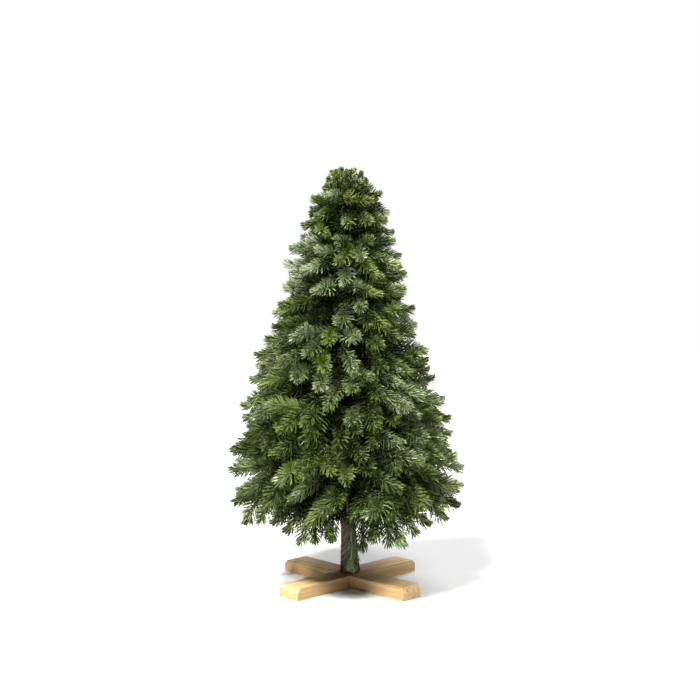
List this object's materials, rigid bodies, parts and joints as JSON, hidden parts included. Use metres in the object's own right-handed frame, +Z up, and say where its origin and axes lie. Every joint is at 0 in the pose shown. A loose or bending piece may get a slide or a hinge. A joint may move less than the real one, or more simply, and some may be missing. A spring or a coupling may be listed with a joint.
{
  "type": "table christmas tree",
  "caption": "Small cut fir for a table: dense drooping tiers of needle sprays round a trunk, blunt tip, on a plain wooden cross.",
  "frame": {"origin": "middle of the wooden cross's flat underside, under the trunk", "axes": "+Z up along the trunk; -Y is the front, the side the reference view looks at; +X is to the right in that view"},
  "size_m": [0.4174, 0.4284, 0.75],
  "materials": {
    "needles": "waxy grey-green fir needles in dense sprays",
    "bark": "thin grey-brown bark with raised resin blisters",
    "board": "sawn pine, dry and unfinished",
    "screw": "zinc-plated steel"
  },
  "bodies": {
    "root": {"foliage_tier_1_1": "needles", "foliage_tier_1_2": "needles", "foliage_tier_1_3": "needles", "foliage_tier_1_4": "needles", "foliage_tier_1_5": "needles", "foliage_tier_1_6": "needles", "foliage_tier_2_1": "needles", "foliage_tier_2_2": "needles", "foliage_tier_2_3": "needles", "foliage_tier_2_4": "needles", "foliage_tier_2_5": "needles", "foliage_tier_2_6": "needles", "foliage_tier_3_1": "needles", "foliage_tier_3_2": "needles", "foliage_tier_3_3": "needles", "foliage_tier_3_4": "needles", "foliage_tier_3_5": "needles", "foliage_tier_4_1": "needles", "foliage_tier_4_2": "needles", "foliage_tier_4_3": "needles", "foliage_tier_4_4": "needles", "foliage_tier_4_5": "needles", "foliage_tier_5_1": "needles", "foliage_tier_5_2": "needles", "foliage_tier_5_3": "needles", "foliage_tier_5_4": "needles", "foliage_tier_6_1": "needles", "foliage_tier_6_2": "needles", "foliage_tier_6_3": "needles", "foliage_tier_6_4": "needles", "foliage_tier_7_1": "needles", "foliage_tier_7_2": "needles", "foliage_tier_7_3": "needles", "foliage_tip": "needles", "hanging_spray_front": "needles", "hanging_spray_left": "needles", "hanging_spray_right": "needles", "trunk": "bark", "bough_tier_1_1": "bark", "bough_tier_1_2": "bark", "bough_tier_1_3": "bark", "bough_tier_1_4": "bark", "bough_tier_1_5": "bark", "bough_tier_1_6": "bark", "bough_tier_2_1": "bark", "bough_tier_2_2": "bark", "bough_tier_2_3": "bark", "bough_tier_2_4": "bark", "bough_tier_2_5": "bark", "bough_tier_2_6": "bark", "bough_tier_3_1": "bark", "bough_tier_3_2": "bark", "bough_tier_3_3": "bark", "bough_tier_3_4": "bark", "bough_tier_3_5": "bark", "stand_board_upper": "board", "stand_board_lower": "board", "stand_screw_1": "screw", "stand_screw_2": "screw"}
  },
  "joints": []
}
